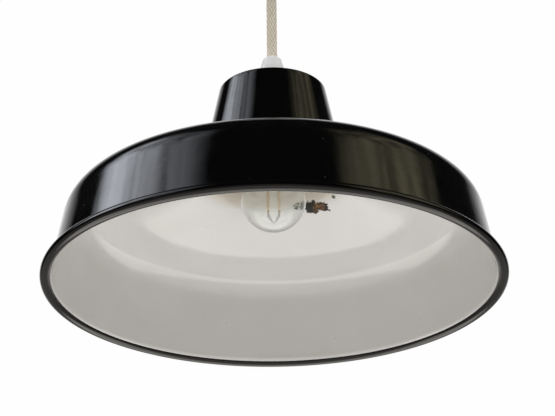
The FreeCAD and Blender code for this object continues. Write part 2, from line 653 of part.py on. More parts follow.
def rose_terminals(rim_inner_r):
    # an insulating carrier with brass sleeves, each with one screw from below, in a row beside the flex
    span = terminal_pitch * (terminal_count - 1) / 2
    half = span + carrier_margin
    back = math.sqrt(rim_inner_r ** 2 - half ** 2) - carrier_corner_gap
    front, low = back - carrier_depth, -base_thick - carrier_height
    middle, wire_z = (front + back) / 2, -base_thick - carrier_height / 2
    sleeve_r, tap_r = sleeve_dia / 2, terminal_screw_dia / 2
    carrier = block((-half, half), (front, back), (low, -base_thick))
    sleeves, screws = [], []
    names = ("core_neutral_upper", "core_earth_upper", "core_live_upper")
    for k in range(terminal_count):
        x = -span + terminal_pitch * k
        channel = rod(sleeve_r, V(x, front, wire_z), V(x, back, wire_z))
        carrier = carrier.cut(channel).cut(rod(well_dia / 2, V(x, middle, low), V(x, middle, wire_z)))
        sleeve = rod(sleeve_r, V(x, front + sleeve_inset, wire_z), V(x, back - sleeve_inset, wire_z))
        bore = rod(core_dia / 2, V(x, front, wire_z), V(x, back, wire_z))
        sleeves.append(sleeve.cut(bore).cut(rod(tap_r, V(x, middle, wire_z), V(x, middle, low))))
        seat = V(x, middle, wire_z - sleeve_r)
        screws.append(screw(seat, AXIS, terminal_screw_dia, sleeve_r - core_dia / 2 - 0.1))

        turn = math.radians(210 - 120 * k)
        start = V(core_circle * math.cos(turn), core_circle * math.sin(turn), -flex_end_depth)
        nodes[names[k]] = wire_along([start, V(start.x, start.y, wire_z - 2.0), V(x, front - 3.5, wire_z),
                                      V(x, middle - tap_r - 0.6, wire_z)], core_dia / 2)
    nodes["rose_terminal_carrier"] = carrier
    nodes["rose_terminals"] = Part.makeCompound(sleeves)
    nodes["rose_terminal_screws"] = Part.makeCompound(screws)


shade()
grip_and_stem()
holder_cap()
holder_skirt()
holder_contacts()
wiring_below()
bulb_cap()
bulb_filaments(*bulb_glass())
flex()
rose_cover()
rose_terminals(rose_base())

for name, shape in nodes.items():
    shape.exportStep("parts/" + name + ".step")
print(len(nodes), "nodes")
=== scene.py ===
import bpy
import bmesh
import math
import numpy as np
from mathutils import Matrix, Vector


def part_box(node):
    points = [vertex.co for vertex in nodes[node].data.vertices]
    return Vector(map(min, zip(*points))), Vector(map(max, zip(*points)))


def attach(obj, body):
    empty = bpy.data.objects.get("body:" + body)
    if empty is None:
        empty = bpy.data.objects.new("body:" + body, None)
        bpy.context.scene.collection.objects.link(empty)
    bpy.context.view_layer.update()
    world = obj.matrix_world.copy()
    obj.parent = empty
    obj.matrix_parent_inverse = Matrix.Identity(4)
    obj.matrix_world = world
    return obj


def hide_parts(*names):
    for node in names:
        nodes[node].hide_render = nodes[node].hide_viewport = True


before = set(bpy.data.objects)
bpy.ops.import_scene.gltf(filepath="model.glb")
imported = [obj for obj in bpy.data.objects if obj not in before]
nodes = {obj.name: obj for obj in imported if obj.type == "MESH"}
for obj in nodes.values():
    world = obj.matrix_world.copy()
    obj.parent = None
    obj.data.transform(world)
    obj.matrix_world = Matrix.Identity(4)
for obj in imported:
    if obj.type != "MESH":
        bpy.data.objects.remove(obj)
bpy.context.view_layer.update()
mm = 0.001
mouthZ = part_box("shade_shell")[0].z / mm  # lowest edge of the shade, in mm
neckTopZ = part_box("shade_shell")[1].z / mm
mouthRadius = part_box("shade_shell")[1].x / mm
print("frame loaded, shade", round(mouthRadius * 2), "mm across")

# the camera stands below the mouth and looks up into the shade
cameraView = {"distance": 1238.6, "below": 22.34, "pitch": 24.76, "yaw": 0.128, "roll": -0.662, "lens": 123.1}


def addCamera():
    below, pitch, yaw, roll = (math.radians(cameraView[k]) for k in ("below", "pitch", "yaw", "roll"))
    forward = Vector((math.sin(yaw) * math.cos(pitch), math.cos(yaw) * math.cos(pitch), math.sin(pitch)))
    right = Vector((math.cos(yaw), -math.sin(yaw), 0))
    up = right.cross(forward)
    tiltedRight = right * math.cos(roll) + up * math.sin(roll)
    tiltedUp = up * math.cos(roll) - right * math.sin(roll)
    data = bpy.data.cameras.new("camera")
    data.sensor_width = 36
    data.lens = cameraView["lens"]
    data.clip_start = 0.01
    camera = bpy.data.objects.new("camera", data)
    distance = cameraView["distance"]
    place = Vector((0, -distance * math.cos(below), mouthZ - distance * math.sin(below))) * mm
    turn = Matrix((tiltedRight, tiltedUp, -forward)).transposed().to_4x4()
    camera.matrix_world = Matrix.Translation(place) @ turn
    bpy.context.scene.collection.objects.link(camera)
    bpy.context.scene.camera = camera


addCamera()
print("camera placed")


# shared helpers: nodes, meshes, profiles
def hexColour(text, alpha=1.0):
    channels = [int(text[k:k + 2], 16) / 255 for k in (1, 3, 5)]  # sRGB to linear
    return [c / 12.92 if c <= 0.04045 else ((c + 0.055) / 1.055) ** 2.4 for c in channels] + [alpha]


# adds one node with its settings and gives back one of its outputs: a name that is no input is a property
# of the node, a socket is linked to the input, and any other value is the input's own
def addNode(tree, kind, settings, output=0):
    node = tree.nodes.new("ShaderNode" + kind)
    for key, value in settings.items():
        if isinstance(key, str) and key not in node.inputs:
            setattr(node, key, value)
        elif isinstance(value, bpy.types.NodeSocket):
            tree.links.new(value, node.inputs[key])
        else:
            node.inputs[key].default_value = value
    return node.outputs[output]


def newMaterial(name, settings):
    material = bpy.data.materials.new(name)
    material.use_nodes = True
    tree = material.node_tree
    shader = tree.nodes["Principled BSDF"]
    for key, value in settings.items():
        shader.inputs[key].default_value = value
    return material, tree, shader


def linkObject(name, mesh):
    piece = bpy.data.objects.new(name, mesh)
    bpy.context.scene.collection.objects.link(piece)
    return piece


# points is a rows x columns grid of places in mm; neighbours join into quads, and a closed
# direction joins its last line back to its first. Rows that meet in a pole are merged.
def gridPiece(name, points, closeRows, closeColumns):
    rows, columns = points.shape[:2]
    i = np.arange(rows if closeRows else rows - 1)
    j = np.arange(columns if closeColumns else columns - 1)
    a, b = np.meshgrid(i, j, indexing="ij")
    nextA, nextB = (a + 1) % rows, (b + 1) % columns
    quads = np.stack([a * columns + b, nextA * columns + b, nextA * columns + nextB, a * columns + nextB], -1)
    mesh = bpy.data.meshes.new(name)
    mesh.from_pydata((points.reshape(-1, 3) * mm).tolist(), [], quads.reshape(-1, 4).tolist())
    work = bmesh.new()
    work.from_mesh(mesh)
    bmesh.ops.remove_doubles(work, verts=work.verts, dist=1e-6)
    bmesh.ops.recalc_face_normals(work, faces=work.faces)
    work.to_mesh(mesh)
    work.free()
    mesh.polygons.foreach_set("use_smooth", np.ones(len(mesh.polygons), bool))
    mesh.update()
    return linkObject(name, mesh)


# a line through (radius, height, rounding) corners with an arc at each rounded one, as an N x 2 array
def roundedLine(corners, spacing, closed=False):
    corners = [tuple(c) + (0,) * (3 - len(c)) for c in corners]
    count, line = len(corners), []
    for i, (r, z, rounding) in enumerate(corners):
        here = np.array((r, z))
        if not rounding or (not closed and i in (0, count - 1)):
            line.append(here[None])
            continue
        back = np.array(corners[i - 1][:2]) - here
        ahead = np.array(corners[(i + 1) % count][:2]) - here
        back, ahead = back / np.linalg.norm(back), ahead / np.linalg.norm(ahead)
        half = math.acos(np.clip(back @ ahead, -1, 1)) / 2
        centre = here + (back + ahead) / np.linalg.norm(back + ahead) * rounding / math.sin(half)
        start = here + back * rounding / math.tan(half) - centre
        end = here + ahead * rounding / math.tan(half) - centre
        sweep = math.pi - 2 * half
        k = np.linspace(0, 1, max(4, int(math.degrees(sweep) / 7)))[:, None]
        line.append(centre + (np.sin((1 - k) * sweep) * start + np.sin(k * sweep) * end) / math.sin(sweep))
    line = np.concatenate(line)
    if closed:
        line = np.concatenate([line, line[:1]])
    gaps = np.linalg.norm(np.diff(line, axis=0), axis=1)
    keep = np.concatenate([[True], gaps > 1e-6])
    line = line[keep]
    gaps = np.linalg.norm(np.diff(line, axis=0), axis=1)
    steps = np.maximum(1, np.ceil(gaps / spacing).astype(int))  # long runs are divided, arcs stay
    owner = np.repeat(np.arange(len(gaps)), steps)
    part = (np.arange(len(owner)) - np.repeat(np.cumsum(steps) - steps, steps)) / steps[owner]
    dense = line[owner] + (line[owner + 1] - line[owner]) * part[:, None]
    return dense if closed else np.concatenate([dense, line[-1:]])


# the profile turned about the vertical axis; push moves each point outwards by a formula of its
# angle, radius and height
def latheGrid(profile, steps, push=None):
    angle = np.linspace(0, 2 * np.pi, steps, endpoint=False)[:, None]
    radius, height = profile[None, :, 0], profile[None, :, 1]
    if push is not None:
        radius = radius + push(angle, radius, height)
    height = np.broadcast_to(height, np.broadcast(radius, angle).shape)
    return np.stack([radius * np.cos(angle), radius * np.sin(angle), height], -1)


def lathePiece(name, profile, steps, closedSection, push=None):
    return gridPiece(name, latheGrid(profile, steps, push), True, closedSection)


# a round section carried along a path: radius may be a grid of along x around values
def tubeGrid(path, radius, around):
    path = np.asarray(path, float)
    along = np.gradient(path, axis=0)
    along /= np.linalg.norm(along, axis=1)[:, None]
    helper = np.where(np.abs(along[:, 2:]) < 0.9, [[0.0, 0.0, 1.0]], [[1.0, 0.0, 0.0]])
    if np.ptp(helper, axis=0).any():
        helper = np.broadcast_to([[0.3, 0.9, 0.2]], path.shape)
    side = np.cross(along, helper)
    side /= np.linalg.norm(side, axis=1)[:, None]
    other = np.cross(along, side)
    turn = np.linspace(0, 2 * np.pi, around, endpoint=False)[None, :, None]
    ring = np.cos(turn) * side[:, None] + np.sin(turn) * other[:, None]
    return path[:, None] + ring * np.broadcast_to(radius, (len(path), around))[..., None]


def cappedTube(name, path, radius, around):
    grid = tubeGrid(path, radius, around)
    first = np.broadcast_to(grid[:1].mean(1, keepdims=True), grid[:1].shape)
    last = np.broadcast_to(grid[-1:].mean(1, keepdims=True), grid[-1:].shape)
    return gridPiece(name, np.concatenate([first, grid, last]), False, True)


def joinPieces(name, pieces):
    mesh = bpy.data.meshes.new(name)
    work = bmesh.new()
    for piece in pieces:
        work.from_mesh(piece.data)
    work.to_mesh(mesh)
    work.free()
    for piece in pieces:
        old = piece.data
        bpy.data.objects.remove(piece)
        bpy.data.meshes.remove(old)
    mesh.polygons.foreach_set("use_smooth", np.ones(len(mesh.polygons), bool))
    return linkObject(name, mesh)


def finish(piece, body, material, slotName, *replaced):
    piece.data.materials.append(material)
    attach(piece, body)
    if replaced:
        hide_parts(*replaced)
    return piece


# materials: their patterns are scaled in real millimetres

# 1 inside a ragged blot round a spot on the surface (mm, height above the mouth), 0 outside
def blot(tree, place, spot, radius, ragged, wave):
    shake = addNode(tree, "TexNoise", {"Vector": place, "Scale": 1 / (wave * mm), "Detail": 4.0,
                                       "Roughness": 0.6}, "Color")
    shifted = addNode(tree, "VectorMath", {"operation": "MULTIPLY_ADD", 0: shake, 1: [ragged * mm] * 3,
                                           2: place})
    centre = [(spot[0] + ragged / 2) * mm, (spot[1] + ragged / 2) * mm, (mouthZ + spot[2] + ragged / 2) * mm]
    gap = addNode(tree, "VectorMath", {"operation": "DISTANCE", 0: shifted, 1: centre}, "Value")
    return addNode(tree, "MapRange", {"Value": gap, "From Min": radius * mm * 1.04,
                                      "From Max": radius * mm * 0.96})


# where the enamel is damaged: x, y and height above the mouth, then the radius, all in mm
wear = {
    "bigChip": (((27.4, 46.6, 79.3), 5.4), ((34.6, 43.6, 78.2), 4.2)), "chipHeart": ((31.4, 45.0, 79.0), 4.6),
    "fragment": ((18.6, 48.8, 80.5), 3.6), "darkDot": ((41.1, 32.4, 80.5), 1.5),
    "rimChip": ((-128.7, -68.4, 4.7), 2.2), "scuffs": ((-66.0, -124.0, 28.0), 34.0),
}


# vitreous enamel, black, fired on pressed steel: a thick glass skin, mirror-like, with a slow ripple
# and fine scuffs from handling; a chip shows rusty steel
def makeBlackEnamel():
    material, tree, shader = newMaterial("blackVitreousEnamel", {"IOR": 1.52, "Metallic": 0.0})
    place = addNode(tree, "TexCoord", {}, "Object")
    grime = addNode(tree, "TexNoise", {"Vector": place, "Scale": 1 / (22 * mm), "Detail": 5.0,
                                       "Roughness": 0.6})
    drawn = addNode(tree, "Mapping", {"Vector": place, "Scale": (60, 60, 900), "Rotation": (0.3, 0.15, 0)})
    lines = addNode(tree, "TexNoise", {"Vector": drawn, "Scale": 1.0, "Detail": 6.0, "Roughness": 0.7})
    lines = addNode(tree, "MapRange", {"Value": lines, "From Min": 0.60, "From Max": 0.72})
    scuffed = blot(tree, place, *wear["scuffs"], 40, 14)
    handled = addNode(tree, "MapRange", {"Value": scuffed, "To Min": 0.10, "To Max": 0.75})
    scratches = addNode(tree, "Math", {"operation": "MULTIPLY", 0: lines, 1: handled})
    cells = addNode(tree, "TexVoronoi", {"Vector": place, "Scale": 1 / (7 * mm)})
    specks = addNode(tree, "MapRange", {"Value": cells, "From Min": 0.075, "From Max": 0.05})
    dirty = addNode(tree, "MapRange", {"Value": grime, "From Min": 0.5, "From Max": 0.65})
    dust = addNode(tree, "Math", {"operation": "MULTIPLY", 0: specks, 1: dirty})
    chip = blot(tree, place, *wear["rimChip"], 3.0, 2.2)
    scratchTone = addNode(tree, "Math", {"operation": "MULTIPLY", 0: scratches, 1: 0.10})
    skin = addNode(tree, "Mix", {"data_type": "RGBA", 0: scratchTone, 6: hexColour("#040404"),
                                 7: hexColour("#8f8d85")}, 2)
    dustTone = addNode(tree, "Math", {"operation": "MULTIPLY", 0: dust, 1: 0.25})
    dusty = addNode(tree, "Mix", {"data_type": "RGBA", 0: dustTone, 6: skin, 7: hexColour("#a39e92")}, 2)
    flecks = addNode(tree, "TexNoise", {"Vector": place, "Scale": 1 / (1.2 * mm), "Detail": 3.0})
    rust = addNode(tree, "Mix", {"data_type": "RGBA", 0: flecks, 6: hexColour("#3a2213"),
                                 7: hexColour("#a08d78")}, 2)
    colour = addNode(tree, "Mix", {"data_type": "RGBA", 0: chip, 6: dusty, 7: rust}, 2)
    tree.links.new(colour, shader.inputs["Base Color"])
    gloss = addNode(tree, "MapRange", {"Value": grime, "From Min": 0.35, "From Max": 0.75, "To Min": 0.06,
                                       "To Max": 0.14})
    rough = addNode(tree, "Math", {"operation": "MULTIPLY_ADD", 0: scratches, 1: 0.22, 2: gloss})
    dull = addNode(tree, "Math", {"operation": "MAXIMUM", 0: dust, 1: chip})
    rough = addNode(tree, "Math", {"operation": "MULTIPLY_ADD", 0: dull, 1: 0.5, 2: rough})
    tree.links.new(rough, shader.inputs["Roughness"])
    ripple = addNode(tree, "TexNoise", {"Vector": place, "Scale": 1 / (16 * mm), "Detail": 2.0,
                                        "Roughness": 0.4})
    peel = addNode(tree, "TexNoise", {"Vector": place, "Scale": 1 / (2.6 * mm), "Detail": 2.0})
    height = addNode(tree, "Math", {"operation": "MULTIPLY", 0: ripple, 1: 0.10})
    for part, depth in ((peel, 0.004), (chip, -0.3), (scratches, -0.004)):
        height = addNode(tree, "Math", {"operation": "MULTIPLY_ADD", 0: part, 1: depth, 2: height})
    bump = addNode(tree, "Bump", {"Strength": 1.0, "Distance": mm, "Height": height})
    tree.links.new(bump, shader.inputs["Normal"])
    return material


# the same enamel in white: warm off-white, glossy, with painted shade that tones it darker and warmer inside
# the neck
def makeWhiteEnamel():
    material, tree, shader = newMaterial("whiteVitreousEnamel", {"IOR": 1.52})
    place = addNode(tree, "TexCoord", {}, "Object")
    cloud = addNode(tree, "TexNoise", {"Vector": place, "Scale": 1 / (45 * mm), "Detail": 3.0})
    cloud = addNode(tree, "MapRange", {"Value": cloud, "From Min": 0.3, "From Max": 0.7})
    height = addNode(tree, "SeparateXYZ", {0: place}, "Z")
    # painted shade: above the neck's base the white is mixed towards a darker warm tone, where the neck's
    # inside lies in shade
    paintedNeckShade = addNode(tree, "MapRange", {"Value": height, "From Min": (mouthZ + 78.6) * mm,
                                      "From Max": (mouthZ + 82.5) * mm})
    cells = addNode(tree, "TexVoronoi", {"Vector": place, "Scale": 1 / (11 * mm)})
    pins = addNode(tree, "MapRange", {"Value": cells, "From Min": 0.05, "From Max": 0.035})
    pins = addNode(tree, "Math", {"operation": "MULTIPLY", 0: pins, 1: 0.35})
    lobes = [blot(tree, place, spot, radius, 11.0, 5.0) for spot, radius in wear["bigChip"]]
    chip = addNode(tree, "Math", {"operation": "MAXIMUM", 0: lobes[0], 1: lobes[1]})
    heart = blot(tree, place, *wear["chipHeart"], 11.0, 5.0)
    dot = blot(tree, place, *wear["darkDot"], 0.8, 1.5)
    flecks = addNode(tree, "TexNoise", {"Vector": place, "Scale": 1 / (1.6 * mm), "Detail": 4.0,
                                        "Roughness": 0.65})
    broken = addNode(tree, "MapRange", {"Value": flecks, "From Min": 0.46, "From Max": 0.54})
    fragment = blot(tree, place, *wear["fragment"], 5.0, 3.0)
    fragment = addNode(tree, "Math", {"operation": "MULTIPLY", 0: fragment, 1: broken})
    rusty = addNode(tree, "MapRange", {"Value": flecks, "From Min": 0.42, "From Max": 0.60})
    rust = addNode(tree, "Mix", {"data_type": "RGBA", 0: rusty, 6: hexColour("#1d1712"),
                                 7: hexColour("#7b5a38")}, 2)
    black = addNode(tree, "Math", {"operation": "MAXIMUM", 0: chip, 1: dot})
    colour = hexColour("#e9e6e2")
    for share, tone in ((cloud, hexColour("#e3e0db")), (paintedNeckShade, hexColour("#dcd3c4")),
                        (pins, hexColour("#7d7468")),
                        (black, hexColour("#0e110c")), (fragment, hexColour("#3c3a36")), (heart, rust)):
        colour = addNode(tree, "Mix", {"data_type": "RGBA", 0: share, 6: colour, 7: tone}, 2)
    tree.links.new(colour, shader.inputs["Base Color"])
    bare = addNode(tree, "Math", {"operation": "MAXIMUM", 0: chip, 1: fragment})
    rough = addNode(tree, "MapRange", {"Value": bare, "To Min": 0.06, "To Max": 0.75})
    tree.links.new(rough, shader.inputs["Roughness"])
    ripple = addNode(tree, "TexNoise", {"Vector": place, "Scale": 1 / (20 * mm), "Detail": 2.0})
    crust = addNode(tree, "Math", {"operation": "MULTIPLY", 0: flecks, 1: heart})
    relief = addNode(tree, "Math", {"operation": "MULTIPLY", 0: ripple, 1: 0.06})
    for part, depth in ((bare, -0.35), (crust, 0.25)):
        relief = addNode(tree, "Math", {"operation": "MULTIPLY_ADD", 0: part, 1: depth, 2: relief})
    bump = addNode(tree, "Bump", {"Strength": 1.0, "Distance": mm, "Height": relief})
    tree.links.new(bump, shader.inputs["Normal"])
    return material


# linen-look cotton braid: dull yarn, uneven from thread to thread, with painted shade darkening the gaps
# between strands; the weave itself is in the mesh
def makeLinenBraid(woven):
    material, tree, shader = newMaterial("linenCottonBraid" if woven else "linenCottonSheath",
                                         {"Roughness": 0.85, "Sheen Weight": 0.25, "Sheen Roughness": 0.5,
                                          "Specular IOR Level": 0.25})
    place = addNode(tree, "TexCoord", {}, "Object")
    slub = addNode(tree, "TexNoise", {"Vector": place, "Scale": 1 / (1.1 * mm), "Detail": 4.0,
                                      "Roughness": 0.65})
    slub = addNode(tree, "MapRange", {"Value": slub, "From Min": 0.36, "From Max": 0.58})
    fibre = addNode(tree, "Mapping", {"Vector": place, "Scale": (3500, 3500, 900)})
    hair = addNode(tree, "TexNoise", {"Vector": fibre, "Scale": 1.0, "Detail": 4.0})
    pale = addNode(tree, "MapRange", {"Value": hair, "From Min": 0.4, "From Max": 0.7, "To Max": 0.5})
    colour = hexColour("#cdbfa6")
    for share, tone in ((slub, "#f6eee0"), (pale, "#fbf6ec")):
        colour = addNode(tree, "Mix", {"data_type": "RGBA", 0: share, 6: colour, 7: hexColour(tone)}, 2)
    if woven:
        # painted shade: the yarn colour is mixed darker where the strand sinks into a gap between strands
        gapShadeMask = addNode(tree, "Attribute", {"attribute_name": "strandHeight"}, "Fac")
        gapShadeMask = addNode(tree, "MapRange", {"Value": gapShadeMask, "From Min": 0.30, "From Max": 0.80})
        colour = addNode(tree, "Mix", {"data_type": "RGBA", 0: gapShadeMask, 6: hexColour("#b8aa90"), 7: colour}, 2)
    tree.links.new(colour, shader.inputs["Base Color"])
    bump = addNode(tree, "Bump", {"Strength": 0.6, "Distance": 0.1 * mm, "Height": hair})
    tree.links.new(bump, shader.inputs["Normal"])
    return material


# smooth finishes that differ only in colour, gloss and grain
def makePlain(name, tones, rough, grain, relief, extra=None):
    material, tree, shader = newMaterial(name, {"Roughness": rough, **(extra or {})})
    place = addNode(tree, "TexCoord", {}, "Object")
    cloud = addNode(tree, "TexNoise", {"Vector": place, "Scale": 1 / (grain * 6 * mm), "Detail": 3.0})
    cloud = addNode(tree, "MapRange", {"Value": cloud, "From Min": 0.3, "From Max": 0.7})
    colour = addNode(tree, "Mix", {"data_type": "RGBA", 0: cloud, 6: hexColour(tones[0]),
                                   7: hexColour(tones[1])}, 2)
    tree.links.new(colour, shader.inputs["Base Color"])
    gloss = addNode(tree, "MapRange", {"Value": cloud, "To Min": rough * 0.85, "To Max": rough * 1.2})
    tree.links.new(gloss, shader.inputs["Roughness"])
    fine = addNode(tree, "TexNoise", {"Vector": place, "Scale": 1 / (grain * mm), "Detail": 3.0})
    bump = addNode(tree, "Bump", {"Strength": 0.5, "Distance": relief * mm, "Height": fine})
    tree.links.new(bump, shader.inputs["Normal"])
    return material


# clear blown glass of a lamp bulb, never quite even
def makeGlass():
    material, tree, shader = newMaterial("clearBlownGlass", {"Base Color": hexColour("#fbfdfc"),
                                                             "Roughness": 0.0,
                                                             "IOR": 1.47, "Transmission Weight": 1.0})
    place = addNode(tree, "TexCoord", {}, "Object")
    swirl = addNode(tree, "TexNoise", {"Vector": place, "Scale": 1 / (12 * mm), "Detail": 2.0,
                                       "Roughness": 0.4})
    bump = addNode(tree, "Bump", {"Strength": 0.25, "Distance": 0.15 * mm, "Height": swirl})
    tree.links.new(bump, shader.inputs["Normal"])
    return material


# green earth core with a yellow stripe round it
def makeEarthCore():
    material, tree, shader = newMaterial("greenYellowPvcCore", {"Roughness": 0.4})
    place = addNode(tree, "TexCoord", {}, "Object")
    stripe = addNode(tree, "TexWave", {"Vector": place, "Scale": 1 / (9 * mm), "Distortion": 1.0}, "Fac")
    stripe = addNode(tree, "MapRange", {"Value": stripe, "From Min": 0.45, "From Max": 0.55})
    colour = addNode(tree, "Mix", {"data_type": "RGBA", 0: stripe, 6: hexColour("#3c8f3a"),
                                   7: hexColour("#d8c732")}, 2)
    tree.links.new(colour, shader.inputs["Base Color"])
    return material


metal = {"Metallic": 1.0}
blackEnamel = makeBlackEnamel()
whiteEnamel = makeWhiteEnamel()
linenBraid = makeLinenBraid(True)
linenSheath = makeLinenBraid(False)
clearGlass = makeGlass()
whiteUrea = makePlain("mouldedWhiteUrea", ("#e6e7e6", "#e0e1df"), 0.32, 0.6, 0.01)  # satin moulded plastic
whiteNylon = makePlain("mouldedNylon", ("#e3e3dd", "#d9d9d2"), 0.45, 0.5, 0.02)
zincPlate = makePlain("brightZincPlate", ("#c4c5c2", "#b0b2b2"), 0.28, 0.35, 0.01, metal)
turnedBrass = makePlain("turnedBrass", ("#d9b36a", "#c89c50"), 0.25, 0.3, 0.01, metal)
nickelPlate = makePlain("nickelPlatedBrass", ("#cfcac0", "#bdb8ae"), 0.22, 0.4, 0.01, metal)
tinSolder = makePlain("tinSolder", ("#c2c4c6", "#a8abae"), 0.4, 0.5, 0.04, metal)
steelWire = makePlain("drawnSteelWire", ("#b9b9b6", "#a3a3a1"), 0.3, 0.3, 0.01, metal)
porcelain = makePlain("unglazedPorcelain", ("#efece4", "#e5e1d7"), 0.6, 0.4, 0.02)
blackGlass = makePlain("blackVitrite", ("#0a0b0d", "#121316"), 0.12, 0.8, 0.01)
brownCore = makePlain("brownPvcCore", ("#5a2f17", "#4c2712"), 0.4, 0.5, 0.01)
blueCore = makePlain("bluePvcCore", ("#2459a8", "#1d4c93"), 0.4, 0.5, 0.01)
circuitBoard = makePlain("glassFibreBoard", ("#2f6a3d", "#275a34"), 0.35, 0.5, 0.01)
potComponents = makePlain("mouldedComponents", ("#2b2c30", "#202125"), 0.45, 0.4, 0.02)
softGel = {"Subsurface Weight": 0.2, "Subsurface Scale": 0.5 * mm}
phosphorGel = makePlain("phosphorSilicone", ("#ecd9bb", "#e0c8a6"), 0.4, 0.5, 0.02, softGel)


earthCore = makeEarthCore()
print("materials made")

# ceiling rose cover, cord grip and lampholder shells: turned shapes with rounded corners
roseShape = {"radius": 38.0, "taper": 2.0, "depth": 31.0, "wall": 2.0, "lip": 0.5, "round": 7.0, "hub": 11.0,
             "hubTaper": 2.0, "outlet": 4.4, "flare": 3.4, "outletLip": 2.4, "pivot": 37.0,
             "flutes": 60, "fluteDepth": 0.35, "fluteTop": 5.0, "fluteLow": 20.0}


# finger flutes: a rounded wave round the outside only, faded out at both ends of the fluted band
def roseFlutes(angle, radius, height):
    shape = roseShape
    fade = np.clip((-height - shape["fluteTop"]) / 2, 0, 1) * np.clip((shape["fluteLow"] + height) / 2, 0, 1)
    outside = radius > shape["radius"] - shape["taper"] * 0.75
    return -shape["fluteDepth"] * fade * outside * (0.5 + 0.5 * np.cos(shape["flutes"] * angle)) ** 2


def addRoseCover():
    shape = roseShape
    radius, wall, lip = shape["radius"], shape["wall"], shape["lip"]
    end, roof, low = radius - shape["taper"], -shape["depth"] + wall, -shape["depth"] - shape["hub"]
    outlet, mouth = shape["outlet"], shape["outlet"] + shape["flare"]
    hub = mouth + shape["outletLip"]
    corners = [(radius, -lip), (end, -shape["depth"], shape["round"]),
               (hub + shape["hubTaper"], -shape["depth"], 3.0), (hub, low, 1.4), (mouth, low, 0.8),
               (outlet, -shape["pivot"]), (outlet, roof, 0.8), (end - wall, roof, shape["round"] - wall),
               (radius - wall, -lip)]
    piece = lathePiece("roseCover", roundedLine(corners, 1.5, True), 480, True, roseFlutes)
    return finish(piece, "ceiling_rose", whiteUrea, "white_plastic", "rose_cover")


gripShape = {"height": 25.0, "bore": 3.8, "stem": 5.0, "stemIn": 8.0, "base": 9.5, "mid": 8.1, "midDrop": 8.0,
             "top": 6.45, "lip": 4.6, "lipDrop": 1.7, "screwHeight": 13.0, "boss": 3.0, "bossStart": 5.2,
             "bossEnd": 11.5,
             "screwHole": 1.5}


def addCordGrip():
    shape = gripShape
    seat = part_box("cord_grip")[0].z / mm
    top = seat + shape["height"]
    corners = [(shape["bore"], seat + shape["stemIn"]), (shape["stem"], seat + shape["stemIn"]),
               (shape["stem"], seat), (shape["base"], seat, 0.8), (shape["mid"], top - shape["midDrop"], 6.0),
               (shape["top"], top - shape["lipDrop"], 0.8), (shape["lip"], top, 0.25),
               (shape["bore"] + 0.3, top, 0.15), (shape["bore"], top - 1.0)]
    body = lathePiece("body", roundedLine(corners, 1.0, True), 96, True)
    height = seat + shape["screwHeight"]
    section = roundedLine([(shape["screwHole"], shape["bossStart"]), (shape["boss"], shape["bossStart"]),
                           (shape["boss"], shape["bossEnd"], 0.5),
                           (shape["screwHole"], shape["bossEnd"])], 0.8, True)
    grid = latheGrid(section, 48)
    boss = gridPiece("boss", np.stack([grid[..., 0], grid[..., 2], grid[..., 1] + height], -1), True, True)
    finish(joinPieces("cordGrip", [body, boss]), "lamp", whiteUrea, "white_plastic", "cord_grip")


holderShape = {"radius": 19.5, "wall": 2.0, "boss": 11.0, "stem": 5.0, "roof": 5.0, "capHeight": 24.0,
               "bossHeight": 2.5, "dome": 6.5, "room": 17.5, "ledge": 15.7, "insert": 14.0, "spigot": 17.3,
               "spigotHeight": 6.0, "throat": 15.4, "skirt": 28.0, "taper": 1.3, "groove": 0.9,
               "grooveTop": 4.0, "grooveLow": 5.5,
               "ribs": 72, "ribDepth": 0.25}


# fine grip ribs round the cap's straight side
def capRibs(angle, radius, height):
    shape = holderShape
    top = holderTop - shape["bossHeight"] - shape["dome"] - 2
    low = holderTop - shape["capHeight"] + 2
    fade = np.clip((top - height) / 1.0, 0, 1) * np.clip((height - low) / 1.0, 0, 1)
    outside = radius > shape["radius"] - 0.1
    return -shape["ribDepth"] * fade * outside * (0.5 + 0.5 * np.cos(shape["ribs"] * angle))


def addHolderShells():
    shape = holderShape
    radius, boss, room, ledge = (shape[k] for k in ("radius", "boss", "room", "ledge"))
    low, roof = holderTop - shape["capHeight"], holderTop - shape["roof"]
    sideTop = holderTop - shape["bossHeight"] - shape["dome"]
    cap = [(shape["stem"], holderTop), (boss, holderTop, 0.6), (boss, holderTop - shape["bossHeight"], 1.0),
           (radius, sideTop, shape["dome"] * 0.9), (radius, low), (room, low),
           (room, holderTop - shape["insert"]),
           (ledge, holderTop - shape["insert"]), (ledge, roof - shape["dome"] + 1, 3.0),
           (boss - shape["wall"], roof), (shape["stem"], roof)]
    piece = lathePiece("holderCap", roundedLine(cap, 1.0, True), 432, True, capRibs)
    finish(piece, "lamp", whiteUrea, "white_plastic", "holder_cap")
    joint, end = low + shape["spigotHeight"], low - shape["skirt"]
    skirt = [(radius, low), (radius, low - shape["grooveTop"], 2.0),
             (radius - shape["groove"], low - shape["grooveLow"], 1.5),
             (radius - shape["taper"], end, 1.2), (shape["throat"], end, 0.6), (shape["throat"], joint),
             (shape["spigot"], joint), (shape["spigot"], low)]
    piece = lathePiece("holderSkirt", roundedLine(skirt, 1.5, True), 128, True)
    finish(piece, "lamp", whiteUrea, "white_plastic", "holder_skirt")


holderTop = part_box("holder_cap")[1].z / mm
roseCoverPiece = addRoseCover()
addCordGrip()
addHolderShells()
print("rose cover, cord grip and lampholder shells turned")

# flex: taut from the grip to the rose, braided
flexShape = {"diameter": 7.0, "strands": 10, "lay": 46.0, "crown": 0.2, "yarns": 2, "yarnRise": 0.07,
             "wander": 0.06, "around": 216, "step": 0.17}
flexRoute = [(0, 0, -0.1032), (0, 0, -0.0816), (0, 0, -0.0600), (0, 0, -0.0384)]


